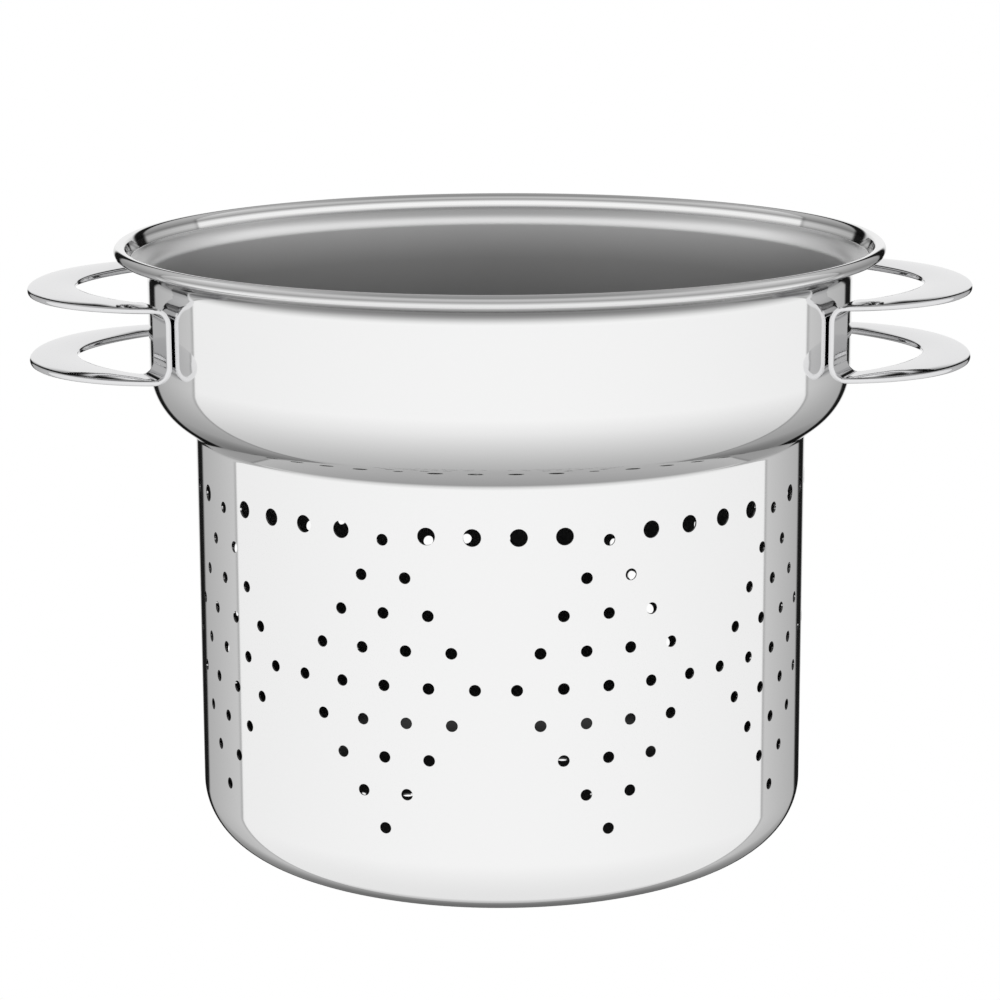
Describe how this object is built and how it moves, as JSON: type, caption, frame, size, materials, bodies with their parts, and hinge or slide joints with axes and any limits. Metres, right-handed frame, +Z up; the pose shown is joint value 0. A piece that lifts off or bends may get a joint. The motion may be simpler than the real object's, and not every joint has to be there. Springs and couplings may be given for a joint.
{
  "type": "deep pasta strainer insert",
  "caption": "Deep perforated strainer insert for a pasta pot, with a plain flared bowl, a rolled rim and two welded loop handles of folded strip.",
  "frame": {"origin": "centre of the base's underside", "axes": "+Z up along the axis of the pot, X through the two handles, -Y towards the viewer"},
  "size_m": [0.3236, 0.2634, 0.2104],
  "materials": {
    "body_steel": "mirror-polished stainless steel outside, fine circular polish inside",
    "handle_steel": "polished stainless steel strip",
    "weld_steel": "bare weld metal"
  },
  "bodies": {
    "root": {"insert_body": "body_steel", "handle_left": "handle_steel", "handle_right": "handle_steel", "spot_welds_left": "weld_steel", "spot_welds_right": "weld_steel"}
  },
  "joints": []
}
